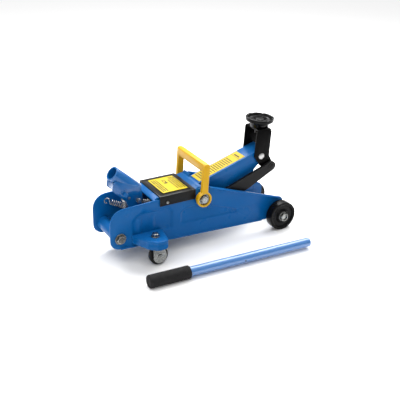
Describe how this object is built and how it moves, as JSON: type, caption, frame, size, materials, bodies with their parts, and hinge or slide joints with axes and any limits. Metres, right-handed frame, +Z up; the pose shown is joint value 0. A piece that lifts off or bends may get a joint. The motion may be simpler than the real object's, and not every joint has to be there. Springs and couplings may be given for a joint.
{
  "type": "hydraulic trolley jack",
  "caption": "Low wheeled hydraulic jack, part raised: arm and parallel links lift a dished saddle; pump socket, carry handle, swivel casters and a loose pumping handle.",
  "frame": {"origin": "middle of the footprint of the jack and its loose handle, on the floor", "axes": "+X towards the lifting end, +Y to the jack's left side, +Z up"},
  "size_m": [0.4334, 0.2704, 0.2483],
  "materials": {
    "blue_paint": "gloss blue enamel on pressed steel",
    "light_blue_paint": "gloss light blue enamel on steel tube",
    "black_paint": "semi-gloss black paint on steel",
    "rubber": "matt black rubber and foam",
    "yellow_plastic": "satin yellow moulded plastic",
    "label_film": "printed yellow film",
    "zinc_plate": "bright zinc plate",
    "bare_steel": "ground steel",
    "spring_steel": "oiled spring wire",
    "casting": "dark painted casting"
  },
  "bodies": {
    "frame": {"side_plate_right": "blue_paint", "side_plate_left": "blue_paint", "front_axle": "zinc_plate", "hub_nut_right": "zinc_plate", "hub_nut_left": "zinc_plate", "rear_cross_tube": "blue_paint", "rear_tie_bolt": "zinc_plate", "rear_tie_nut_right": "zinc_plate", "rear_tie_nut_left": "zinc_plate", "cross_brace_plate": "blue_paint", "top_cover": "black_paint", "cover_label": "label_film", "cover_screw_right": "zinc_plate", "cover_screw_left": "zinc_plate", "caster_bracket_right": "blue_paint", "caster_bracket_left": "blue_paint", "caster_kingpin_right": "zinc_plate", "caster_kingpin_left": "zinc_plate", "power_unit_block": "casting", "reservoir_cylinder": "casting", "gland_nut": "bare_steel", "filler_plug": "rubber", "arm_pivot_shaft": "zinc_plate", "pivot_nut_right": "zinc_plate", "pivot_nut_left": "zinc_plate", "link_pivot_stud_right": "bare_steel", "link_pivot_stud_left": "bare_steel", "socket_pivot_pin": "bare_steel", "plunger_spring": "spring_steel", "arm_return_spring_right": "spring_steel", "arm_return_spring_left": "spring_steel", "socket_return_spring_right": "spring_steel", "socket_return_spring_left": "spring_steel"},
    "front_wheel_right": {"front_wheel_right": "black_paint"},
    "front_wheel_left": {"front_wheel_left": "black_paint"},
    "caster_fork_right": {"caster_fork_right": "zinc_plate", "caster_rivet_right": "zinc_plate"},
    "caster_fork_left": {"caster_fork_left": "zinc_plate", "caster_rivet_left": "zinc_plate"},
    "caster_wheel_right": {"caster_wheel_right": "rubber"},
    "caster_wheel_left": {"caster_wheel_left": "rubber"},
    "carry_handle": {"carry_handle": "yellow_plastic"},
    "lift_arm": {"lift_arm": "blue_paint", "arm_yoke": "blue_paint", "arm_scale_label": "label_film", "saddle_bracket_pin": "bare_steel", "ram_cross_pin": "bare_steel"},
    "links": {"link_bar_right": "black_paint", "link_bar_left": "black_paint", "link_end_pin": "black_paint"},
    "saddle_bracket": {"saddle_bracket": "black_paint"},
    "saddle": {"saddle": "black_paint"},
    "ram": {"ram_rod": "bare_steel"},
    "handle_socket": {"handle_socket": "blue_paint", "socket_set_bolt": "blue_paint", "pump_roller": "bare_steel"},
    "pump_plunger": {"pump_plunger": "bare_steel"},
    "release_valve": {"release_valve": "bare_steel"},
    "pumping_handle": {"pumping_handle_tube": "light_blue_paint", "pumping_handle_grip": "rubber"}
  },
  "joints": [
    {"name": "front_wheel_right_spin", "type": "hinge", "parent": "frame", "child": "front_wheel_right", "pos_m": [0.1845, -0.02131, 0.0322], "axis": [0, 1, 0], "continuous": true},
    {"name": "front_wheel_left_spin", "type": "hinge", "parent": "frame", "child": "front_wheel_left", "pos_m": [0.1845, 0.09579, 0.0322], "axis": [0, 1, 0], "continuous": true},
    {"name": "caster_right_swivel", "type": "hinge", "parent": "frame", "child": "caster_fork_right", "pos_m": [-0.1308, -0.03326, 0.057], "axis": [0, 0, 1], "continuous": true},
    {"name": "caster_right_spin", "type": "hinge", "parent": "caster_fork_right", "child": "caster_wheel_right", "pos_m": [-0.1248, -0.03326, 0.0204], "axis": [0, 1, 0], "continuous": true},
    {"name": "caster_left_swivel", "type": "hinge", "parent": "frame", "child": "caster_fork_left", "pos_m": [-0.1308, 0.10774, 0.057], "axis": [0, 0, 1], "continuous": true},
    {"name": "caster_left_spin", "type": "hinge", "parent": "caster_fork_left", "child": "caster_wheel_left", "pos_m": [-0.1248, 0.10774, 0.0204], "axis": [0, 1, 0], "continuous": true},
    {"name": "carry_handle_fold", "type": "hinge", "parent": "frame", "child": "carry_handle", "pos_m": [-0.0095, 0.03724, 0.1113], "axis": [0, -1, 0], "range_deg": [0, 58]},
    {"name": "arm_lift", "type": "hinge", "parent": "frame", "child": "lift_arm", "pos_m": [-0.0095, 0.03724, 0.1113], "axis": [0, -1, 0], "range_deg": [-31, 36], "deforming": ["arm_return_spring_right", "arm_return_spring_left"]},
    {"name": "link_swing", "type": "hinge", "parent": "frame", "child": "links", "pos_m": [0.0125, 0.03724, 0.0869], "axis": [0, -1, 0], "range_deg": [-31, 36]},
    {"name": "bracket_tilt", "type": "hinge", "parent": "lift_arm", "child": "saddle_bracket", "pos_m": [0.14963, 0.03724, 0.16516], "axis": [0, -1, 0], "range_deg": [-36, 31]},
    {"name": "saddle_turn", "type": "hinge", "parent": "saddle_bracket", "child": "saddle", "pos_m": [0.1556, 0.03724, 0.2249], "axis": [0.0663, 0, 0.9978], "continuous": true},
    {"name": "ram_slide", "type": "slide", "parent": "frame", "child": "ram", "axis": [1, 0, 0], "range_m": [-0.0156, 0.0181]},
    {"name": "pump_stroke", "type": "hinge", "parent": "frame", "child": "handle_socket", "pos_m": [-0.1419, 0.03724, 0.1232], "axis": [0, -1, 0], "range_deg": [0, 45], "stiffness_Nm_per_rad": 1.2, "springref_deg": -20.05, "deforming": ["socket_return_spring_right", "socket_return_spring_left"]},
    {"name": "plunger_slide", "type": "slide", "parent": "frame", "child": "pump_plunger", "axis": [0, 0, -1], "range_m": [0, 0.0154], "deforming": ["plunger_spring"]},
    {"name": "valve_turn", "type": "hinge", "parent": "frame", "child": "release_valve", "pos_m": [-0.1747, 0.03724, 0.0795], "axis": [1, 0, 0], "range_deg": [0, 180]},
    {"name": "pumping_handle_pick_up", "type": "slide", "parent": "frame", "child": "pumping_handle", "axis": [0, 0, 1], "range_m": [0, 0.2]}
  ],
  "couplings": [
    {"joint": "link_swing", "follows": "arm_lift", "ratio": 1},
    {"joint": "bracket_tilt", "follows": "arm_lift", "ratio": -1},
    {"joint": "ram_slide", "follows": "arm_lift", "m_per_rad": 0.0287},
    {"joint": "plunger_slide", "follows": "pump_stroke", "m_per_rad": 0.0195}
  ]
}
